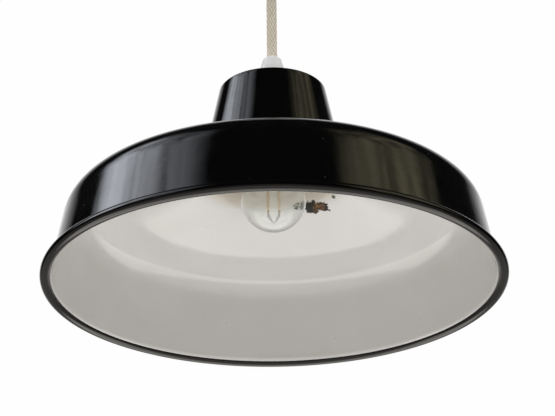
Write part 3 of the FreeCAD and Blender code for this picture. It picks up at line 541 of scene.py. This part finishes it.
def routePoints(route, resolution):
    data = bpy.data.curves.new("route", "CURVE")
    data.dimensions = "3D"
    spline = data.splines.new("NURBS")
    spline.points.add(len(route) - 1)
    for point, place in zip(spline.points, route):
        point.co = (*place, 1)
    spline.order_u = 3
    spline.use_endpoint_u = True
    spline.resolution_u = resolution
    carrier = linkObject("route", data)
    mesh = bpy.data.meshes.new_from_object(carrier.evaluated_get(bpy.context.evaluated_depsgraph_get()))
    points = np.array([v.co for v in mesh.vertices])
    bpy.data.objects.remove(carrier)
    bpy.data.meshes.remove(mesh)
    return points


# braid: two families of strands climb in opposite turns. Each strand's section is a half wave of its own
# phase; where the two phases' sines have the same sign one family is on top, else the other, and the top
# strand stands up by the crown. Its yarns are finer waves along the same phase.
def addFlex():
    line = routePoints(flexRoute, 40) / mm
    length = np.concatenate([[0], np.cumsum(np.linalg.norm(np.diff(line, axis=0), axis=1))])
    fine = np.arange(0, length[-1], flexShape["step"])
    path = np.stack([np.interp(fine, length, line[:, k]) for k in range(3)], -1)
    around = flexShape["around"]
    turn = np.linspace(0, 2 * np.pi, around, endpoint=False)[None, :]
    climb = 2 * np.pi * fine[:, None] / flexShape["lay"]
    rightPhase = flexShape["strands"] / 2 * (turn + climb)
    leftPhase = flexShape["strands"] / 2 * (turn - climb)
    rightOver = np.sin(rightPhase) * np.sin(leftPhase) > 0
    phase = np.where(rightOver, rightPhase, leftPhase)
    strand = np.abs(np.sin(phase)) ** 0.7
    yarn = flexShape["yarnRise"] * np.cos(2 * flexShape["yarns"] * phase)
    wander = flexShape["wander"] * np.sin(0.9 * fine[:, None] + 2 * turn) * np.sin(0.23 * fine[:, None])
    radius = flexShape["diameter"] / 2 - flexShape["crown"] * (1 - strand) + yarn + wander
    piece = gridPiece("flexBraid", tubeGrid(path, radius, around), False, True)
    depth = piece.data.attributes.new("strandHeight", "FLOAT", "POINT")
    depth.data.foreach_set("value", (strand + 3 * yarn * strand).ravel().astype(np.float32))
    finish(piece, "flex", linenBraid, "braided_flex", "flex")


addFlex()
print("flex braided")

# shade: one pressed shell, black outside, white skin inside
shadeShape = {
    "sheet": 1.2, "lining": 0.3, "bead": 7.0, "curlGap": 0.3,
    "shoulder": (136.6, 56.7, 20.2), "neckBase": (49.2, 81.3, 17.6), "neckTop": (36.2, None, 2.3),
    "stemHole": 5.2, "ripple": 0.10, "steps": 288,
}


# slow unevenness of pressed and enamelled steel: a few long waves round and up the shade
def pressedRipple(angle, radius, height):
    h = height - mouthZ
    wave = (np.sin(3 * angle + 0.03 * h) + 0.8 * np.sin(7 * angle - 0.05 * h + 1.3)
            + 0.25 * np.sin(13 * angle + 0.11 * h + 0.4) + 0.10 * np.sin(21 * angle - 0.16 * h + 2.2))
    return wave * shadeShape["ripple"] * 0.5 * np.clip((neckTopZ - height) / 30, 0, 1)


# the line moved to its left by a distance; outer roundings shrink and inner ones grow
def offsetLine(corners, distance):
    moved = []
    for i, corner in enumerate(corners):
        here = np.array(corner[:2])
        before = here - np.array(corners[i - 1][:2]) if i else np.array(corners[1][:2]) - here
        after = np.array(corners[i + 1][:2]) - here if i < len(corners) - 1 else before
        before, after = before / np.linalg.norm(before), after / np.linalg.norm(after)
        first, second = np.array((-before[1], before[0])), np.array((-after[1], after[0]))
        spot = here + (first + second) / (1 + first @ second) * distance
        bend = before[0] * after[1] - before[1] * after[0]
        rounding = corner[2] if len(corner) > 2 else 0
        if rounding:
            rounding = max(0.2, rounding - distance) if bend > 0 else rounding + distance
        moved.append((spot[0], spot[1], rounding))
    return moved


def addShade():
    bead = shadeShape["bead"] / 2
    core = bead - shadeShape["sheet"]
    curl = np.array((mouthRadius - bead, mouthZ + bead))
    shoulder = (shadeShape["shoulder"][0], mouthZ + shadeShape["shoulder"][1], shadeShape["shoulder"][2])
    reach = np.array(shoulder[:2]) - curl
    lean = math.atan2(reach[1], reach[0]) + math.acos(core / np.linalg.norm(reach))
    start = curl + core * np.array((math.cos(lean), math.sin(lean)))
    base = shadeShape["neckBase"]
    outer = [tuple(start), shoulder, (base[0], mouthZ + base[1], base[2]),
             (shadeShape["neckTop"][0], neckTopZ, shadeShape["neckTop"][2]),
             (shadeShape["stemHole"], neckTopZ)]
    inner = offsetLine(outer, shadeShape["sheet"])
    white = offsetLine(outer, shadeShape["sheet"] + shadeShape["lining"])
    last = lean + 2 * math.pi - math.acos(core / bead) - shadeShape["curlGap"] / core
    sweep = np.linspace(lean, last, 44)
    arc = np.stack([np.cos(sweep), np.sin(sweep)], -1)
    outerLine = roundedLine(outer, 3.0)
    innerLine = roundedLine(inner, 6.0)[::-1]
    section = np.concatenate([outerLine, innerLine, (curl + bead * arc)[1:], (curl + core * arc)[::-1][:-1]])
    black = lathePiece("shadeBlack", section, shadeShape["steps"], True, pressedRipple)
    finish(black, "lamp", blackEnamel, "black_enamel", "shade_shell")
    skin = np.concatenate([innerLine[::-1], roundedLine(white, 3.0)[::-1]])
    lining = lathePiece("shadeWhiteLining", skin, shadeShape["steps"], True, pressedRipple)
    finish(lining, "lamp", whiteEnamel, "white_enamel", "shade_white_lining")


addShade()
print("shade made")

# bulb: glass, filaments, wires and threaded cap; depths are below the tip of its contact
bulbShape = {
    "globe": 44.0, "length": 75.0, "wall": 0.8, "neck": 24.6, "neckRound": 8.0, "capLength": 26.5,
    "filaments": 4, "filamentLength": 26.0, "filamentWidth": 1.7, "filamentCircle": 10.6, "wire": 0.6,
    "filamentLow": 10.4, "clip": 0.42, "gatherDrop": 6.4, "wireRoot": 0.28, "rimDepth": 4.0,
}
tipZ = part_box("bulb_tip_contact")[1].z / mm
globeZ = tipZ - bulbShape["length"] + bulbShape["globe"] / 2


# neck, concave arc and globe as one line from the top rim down to the lowest point
def bulbLine(offset):
    globe = bulbShape["globe"] / 2
    neck, hollow = bulbShape["neck"] / 2, bulbShape["neckRound"]
    rise = math.sqrt((globe + hollow) ** 2 - (neck + hollow) ** 2)
    lean = math.atan2(rise, neck + hollow)
    top = tipZ - bulbShape["capLength"] + bulbShape["rimDepth"]
    hub = np.array((neck + hollow, globeZ + rise))
    a = np.linspace(math.pi, math.pi + lean, 12)
    b = np.linspace(lean, -math.pi / 2, 56)[1:]
    arc = hub + (hollow + offset) * np.stack([np.cos(a), np.sin(a)], -1)
    ball = np.array((0, globeZ)) + (globe - offset) * np.stack([np.cos(b), np.sin(b)], -1)
    ball[-1, 0] = 0
    return np.concatenate([[(neck - offset, top)], arc, ball])


def addBulbGlass():
    outside, inside = bulbLine(0), bulbLine(bulbShape["wall"])
    outer = latheGrid(outside, 96)
    inner = latheGrid(inside, 96)[:, ::-1]
    piece = gridPiece("bulbGlass", np.concatenate([inner, outer], 1), True, True)
    finish(piece, "bulb", clearGlass, "clear_glass", "bulb_glass")


def addFilaments():
    sticks, lower, upper, clips = [], [], [], []
    radius = bulbShape["filamentCircle"] / 2
    low = globeZ - bulbShape["filamentLow"]
    high = low + bulbShape["filamentLength"]
    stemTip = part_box("bulb_glass_stem")[0].z / mm
    for k in range(bulbShape["filaments"]):
        turn = 2 * math.pi * (k + 0.5) / bulbShape["filaments"]
        across = np.array((math.cos(turn), math.sin(turn), 0)) * radius
        ends = np.array((0, 0, 1.0))
        height = np.linspace(low + 0.8, high - 0.8, 24)
        belly = across + height[:, None] * ends
        swell = bulbShape["filamentWidth"] / 2 * np.clip(1.15 - np.abs(np.linspace(-1, 1, 24)) ** 14, 0, 1)
        sticks.append(cappedTube("stick", belly, np.minimum(swell, bulbShape["filamentWidth"] / 2)[:, None],
                                 16))
        for a, b in ((low - 0.6, low + 1.2), (high - 1.2, high + 0.6)):
            clips.append(cappedTube("clip", across + np.linspace(a, b, 5)[:, None] * ends, bulbShape["clip"],
                                    10))
        s = np.linspace(0, 1, 14)[:, None]
        gather = np.array((0, 0, low - bulbShape["gatherDrop"]))
        lower.append(cappedTube("wireLow", (across + ends * (low - 0.5)) * (1 - s) ** 1.6
                                + gather * (1 - (1 - s) ** 1.6) + across * 0.25 * s * (1 - s),
                                bulbShape["wire"] / 2, 8))
        root = across * bulbShape["wireRoot"] + ends * (stemTip + 1.0)
        upper.append(cappedTube("wireHigh", (across + ends * (high + 0.5)) * (1 - s) + root * s
                                + ends * 0.9 * (s * (1 - s)), bulbShape["wire"] / 2, 8))
    finish(joinPieces("bulbFilaments", sticks), "bulb", phosphorGel, "phosphor", "bulb_filaments")
    finish(joinPieces("bulbLowerWires", lower), "bulb", steelWire, "support_wire", "bulb_lower_wires")
    finish(joinPieces("bulbUpperWires", upper + clips), "bulb", steelWire, "support_wire", "bulb_upper_wires")


# rolled screw thread: the radius follows one cosine wave per turn and climbs by one pitch per turn,
# so a bulb that turns and travels together keeps in step with its socket
threadShape = {"pitch": 3.629, "height": 1.1, "crest": 13.0, "gap": 0.1, "wall": 0.35,
               "top": 5.2, "end": 21.6, "rimFlare": 0.3, "lidInset": 1.6, "lidTop": 4.4, "lidLow": 4.75,
               "step": 0.3, "around": 96}


def threaded(angle, height, crest):
    wave = np.cos(2 * np.pi * height / threadShape["pitch"] - angle)
    return crest - threadShape["height"] * (0.5 - 0.5 * wave)


def addCapShell():
    crest, wall = threadShape["crest"], threadShape["wall"]
    top, bottom = tipZ - threadShape["top"], tipZ - bulbShape["capLength"]
    threadEnd = tipZ - threadShape["end"]
    z = np.concatenate([np.arange(top, threadEnd, -threadShape["step"]), np.linspace(threadEnd, bottom, 10)])
    angle = np.linspace(0, 2 * np.pi, threadShape["around"], endpoint=False)[:, None]
    fade = np.clip((z - threadEnd) / 1.5, 0, 1)[None]
    flare = crest + threadShape["rimFlare"] * np.clip((threadEnd - z) / (threadEnd - bottom), 0, 1)[None]
    outside = threaded(angle, z[None], crest) * fade + flare * (1 - fade)
    shape = np.stack([outside * np.cos(angle), outside * np.sin(angle), np.broadcast_to(z, outside.shape)],
                     -1)
    inside = outside - wall
    back = np.stack([inside * np.cos(angle), inside * np.sin(angle), np.broadcast_to(z, inside.shape)], -1)
    lidRadius = crest - threadShape["lidInset"]
    lid = np.array([(lidRadius - 0.01, tipZ - threadShape["lidTop"]),
                    (lidRadius, tipZ - threadShape["lidLow"])])
    lidGrid = latheGrid(lid, threadShape["around"])
    piece = gridPiece("bulbCapThread", np.concatenate([lidGrid[:, :1], shape, back[:, ::-1], lidGrid[:, 1:]],
                                                      1),
                      True, True)
    finish(piece, "bulb", nickelPlate, "nickel_plate", "bulb_cap_shell")


def addSocketShell():
    low, high = (p.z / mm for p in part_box("holder_screw_shell"))
    z = np.arange(high - 0.6, low, -threadShape["step"])
    angle = np.linspace(0, 2 * np.pi, threadShape["around"], endpoint=False)[:, None]
    inside = threaded(angle, z[None], threadShape["crest"] + threadShape["gap"])
    outside = inside + threadShape["wall"]
    front = np.stack([inside * np.cos(angle), inside * np.sin(angle), np.broadcast_to(z, inside.shape)], -1)
    back = np.stack([outside * np.cos(angle), outside * np.sin(angle), np.broadcast_to(z, outside.shape)], -1)
    flange = latheGrid(np.array([(12.2, high - 0.4), (9.5, high - 0.4), (9.5, high), (13.2, high)]),
                       threadShape["around"])
    piece = gridPiece("socketThread", np.concatenate([flange, back, front[:, ::-1]], 1), True, True)
    finish(piece, "lamp", turnedBrass, "brass", "holder_screw_shell")


addBulbGlass()
addFilaments()
addCapShell()
addSocketShell()
print("bulb and socket made")

# every node that stays as it is gets its finish
finishes = {
    "rose_base": whiteUrea, "rose_clamp_jaw": whiteUrea, "rose_terminal_carrier": whiteNylon,
    "cord_grip_screw": whiteNylon, "rose_clamp_screws": zincPlate, "rose_terminal_screws": zincPlate,
    "upper_washer": zincPlate, "lower_washer": zincPlate, "lock_nut": zincPlate,
    "holder_lock_screw": zincPlate,
    "holder_terminal_screws": zincPlate, "rose_terminals": turnedBrass, "threaded_stem": turnedBrass,
    "holder_terminals": turnedBrass, "earth_tag": turnedBrass, "holder_centre_contact": turnedBrass,
    "flex_bend": linenSheath, "flex_clamped_end": linenSheath, "flex_tail": linenSheath,
    "core_live_upper": brownCore, "core_live_lower": brownCore, "core_neutral_upper": blueCore,
    "core_neutral_lower": blueCore, "core_earth_upper": earthCore, "core_earth_lower": earthCore,
    "holder_insert": porcelain, "bulb_glass_stem": clearGlass, "bulb_insulator": blackGlass,
    "bulb_tip_contact": tinSolder, "bulb_driver_board": circuitBoard, "bulb_driver_components": potComponents,
}
for nodeName, material in finishes.items():
    slots = nodes[nodeName].data.materials
    slots.clear()
    slots.append(material)
print("finishes given to", len(finishes), "nodes")

# studio: pale floor, white surround; gloss sees a darker room with two windows and a bright floor
studio = {
    "floorDrop": 2.2, "floorSize": 14.0, "above": 1.28, "below": 0.29, "room": 0.008,
    "sill": (0.30, 0.46), "head": (0.93, 0.72),
    "leftWindow": {"from": 160, "to": 224, "soft": 14, "light": 5.2, "tint": "#f1f6ff", "far": 0.35},
    "rightWall": {"from": -46, "to": 8, "soft": 14, "light": 1.5, "tint": "#e8e0b8"},
    "behind": {"direction": (0, 0.905, 0.425), "wide": 38, "narrow": 16, "light": 1.0},
    "floorGlow": {"towards": 0.05, "light": 2.0, "near": 0.45, "horizon": 0.25},
    "belowLight": {"place": (0, -0.15, -1.30), "size": 1.3, "power": 7.0},
}


# 1 between two compass angles (degrees from +X, counter-clockwise), with soft ends
def compassBand(tree, angle, band):
    half = band["soft"] / 2
    low = addNode(tree, "MapRange", {"Value": angle, "From Min": band["from"] - half,
                                     "From Max": band["from"] + half})
    high = addNode(tree, "MapRange", {"Value": angle, "From Min": band["to"] + half,
                                      "From Max": band["to"] - half})
    return addNode(tree, "Math", {"operation": "MULTIPLY", 0: low, 1: high})


# what polished surfaces mirror: two soft windows in a dark room, a bright backdrop and a bright floor
def reflectedRoom(tree):
    direction = addNode(tree, "TexCoord", {}, "Generated")
    x, y, z = addNode(tree, "SeparateXYZ", {0: direction}).node.outputs
    window, wall, behind, floor = (studio[k] for k in ("leftWindow", "rightWall", "behind", "floorGlow"))
    minusX, minusY = (addNode(tree, "Math", {"operation": "MULTIPLY", 0: side, 1: -1.0}) for side in (x, y))
    compass = addNode(tree, "Math", {"operation": "ARCTAN2", 0: y, 1: x})
    compass = addNode(tree, "Math", {"operation": "MULTIPLY", 0: compass, 1: 180 / math.pi})
    opposite = addNode(tree, "Math", {"operation": "ARCTAN2", 0: minusY, 1: minusX})
    opposite = addNode(tree, "Math", {"operation": "MULTIPLY_ADD", 0: opposite, 1: 180 / math.pi, 2: 180.0})
    stretched = addNode(tree, "Mapping", {"Vector": direction, "Scale": (5.0, 5.0, 1.2)})
    streaks = addNode(tree, "TexNoise", {"Vector": stretched, "Scale": 1.6, "Detail": 4.0, "Roughness": 0.6})
    clouds = addNode(tree, "TexNoise", {"Vector": direction, "Scale": 4.5, "Detail": 4.0, "Roughness": 0.6})
    sill = addNode(tree, "MapRange", {"Value": z, "From Min": studio["sill"][0],
                                      "From Max": studio["sill"][1]})
    head = addNode(tree, "MapRange", {"Value": z, "From Min": studio["head"][0],
                                      "From Max": studio["head"][1]})
    heights = addNode(tree, "Math", {"operation": "MULTIPLY", 0: sill, 1: head})
    sky = addNode(tree, "MapRange", {"Value": clouds, "From Min": 0.36, "From Max": 0.62, "To Min": 0.25,
                                     "To Max": window["light"]})
    fading = addNode(tree, "MapRange", {"Value": opposite, "From Min": 174, "From Max": 224, "To Min": 1.0,
                                        "To Max": window["far"]})
    left = compassBand(tree, opposite, window)
    for share in (sky, fading, heights):
        left = addNode(tree, "Math", {"operation": "MULTIPLY", 0: left, 1: share})
    plaster = addNode(tree, "MapRange", {"Value": streaks, "From Min": 0.40, "From Max": 0.62, "To Min": 0.35,
                                         "To Max": wall["light"]})
    right = compassBand(tree, compass, wall)
    for share in (plaster, heights):
        right = addNode(tree, "Math", {"operation": "MULTIPLY", 0: right, 1: share})
    facing = addNode(tree, "VectorMath", {"operation": "DOT_PRODUCT", 0: direction, 1: behind["direction"]},
                     "Value")
    wide, narrow = (math.cos(math.radians(behind[k])) for k in ("wide", "narrow"))
    glow = addNode(tree, "MapRange", {"Value": facing, "From Min": wide, "From Max": narrow,
                                      "To Min": studio["room"], "To Max": behind["light"]})
    level = addNode(tree, "MapRange", {"Value": y, "From Min": floor["towards"] - 0.05,
                                       "From Max": floor["towards"] + 0.05, "To Min": floor["near"],
                                       "To Max": floor["light"]})
    downward = addNode(tree, "MapRange", {"Value": z, "From Min": -0.48, "From Max": -0.60})
    horizon = addNode(tree, "MapRange", {"Value": z, "From Min": 0.0, "From Max": -0.12,
                                         "To Max": floor["horizon"]})
    level = addNode(tree, "Math", {"operation": "MULTIPLY_ADD", 0: level, 1: downward, 2: horizon})
    total = (0, 0, 0)
    for light, tint in ((left, window["tint"]), (right, wall["tint"]), (glow, "#ffffff"), (level, "#fffaf2")):
        tinted = addNode(tree, "VectorMath", {"operation": "SCALE", 0: hexColour(tint)[:3], "Scale": light})
        total = addNode(tree, "VectorMath", {"operation": "ADD", 0: total, 1: tinted})
    return total


def addFloor():
    size = studio["floorSize"] / 2
    floorZ = mouthZ * mm - studio["floorDrop"]
    mesh = bpy.data.meshes.new("floor")
    mesh.from_pydata([(-size, -size, floorZ), (size, -size, floorZ), (size, size, floorZ),
                      (-size, size, floorZ)],
                     [], [(0, 1, 2, 3)])
    floor = linkObject("floor", mesh)
    floor.data.materials.append(makePlain("palePaper", ("#f1f0ee", "#ecebe8"), 0.8, 3.0, 0.05))
    floor.visible_glossy = False
    floor.visible_diffuse = False  # the world lights the shade from below


def addBelowLight():
    panel = studio["belowLight"]
    data = bpy.data.lights.new("below", "AREA")
    data.shape = "SQUARE"
    data.size = panel["size"]
    data.energy = panel["power"]
    lamp = linkObject("below", data)
    lamp.matrix_world = Matrix.Translation(panel["place"]) @ Matrix.Rotation(math.pi, 4, "X")
    lamp.visible_glossy = False
    lamp.visible_camera = False


# the camera sees white, gloss sees the room, and everything else an even light
def addWorld():
    world = bpy.data.worlds.new("studio")
    world.use_nodes = True
    tree = world.node_tree
    direction = addNode(tree, "TexCoord", {}, "Generated")
    height = addNode(tree, "SeparateXYZ", {0: direction}, "Z")
    level = addNode(tree, "MapRange", {"Value": height, "From Min": -0.05, "From Max": 0.10,
                                       "To Min": studio["below"], "To Max": studio["above"]})
    even = addNode(tree, "VectorMath", {"operation": "SCALE", 0: hexColour("#ffffff")[:3], "Scale": level})
    glossy = addNode(tree, "LightPath", {}, "Is Glossy Ray")
    seen = addNode(tree, "LightPath", {}, "Is Camera Ray")
    light = addNode(tree, "Mix", {"data_type": "RGBA", 0: glossy, 6: even, 7: reflectedRoom(tree)}, 2)
    light = addNode(tree, "Mix", {"data_type": "RGBA", 0: seen, 6: light, 7: hexColour("#fefefe")}, 2)
    tree.links.new(light, tree.nodes["Background"].inputs["Color"])
    bpy.context.scene.world = world
    bpy.context.scene.view_settings.view_transform = "Standard"


addFloor()
addBelowLight()
addWorld()
print("studio set")
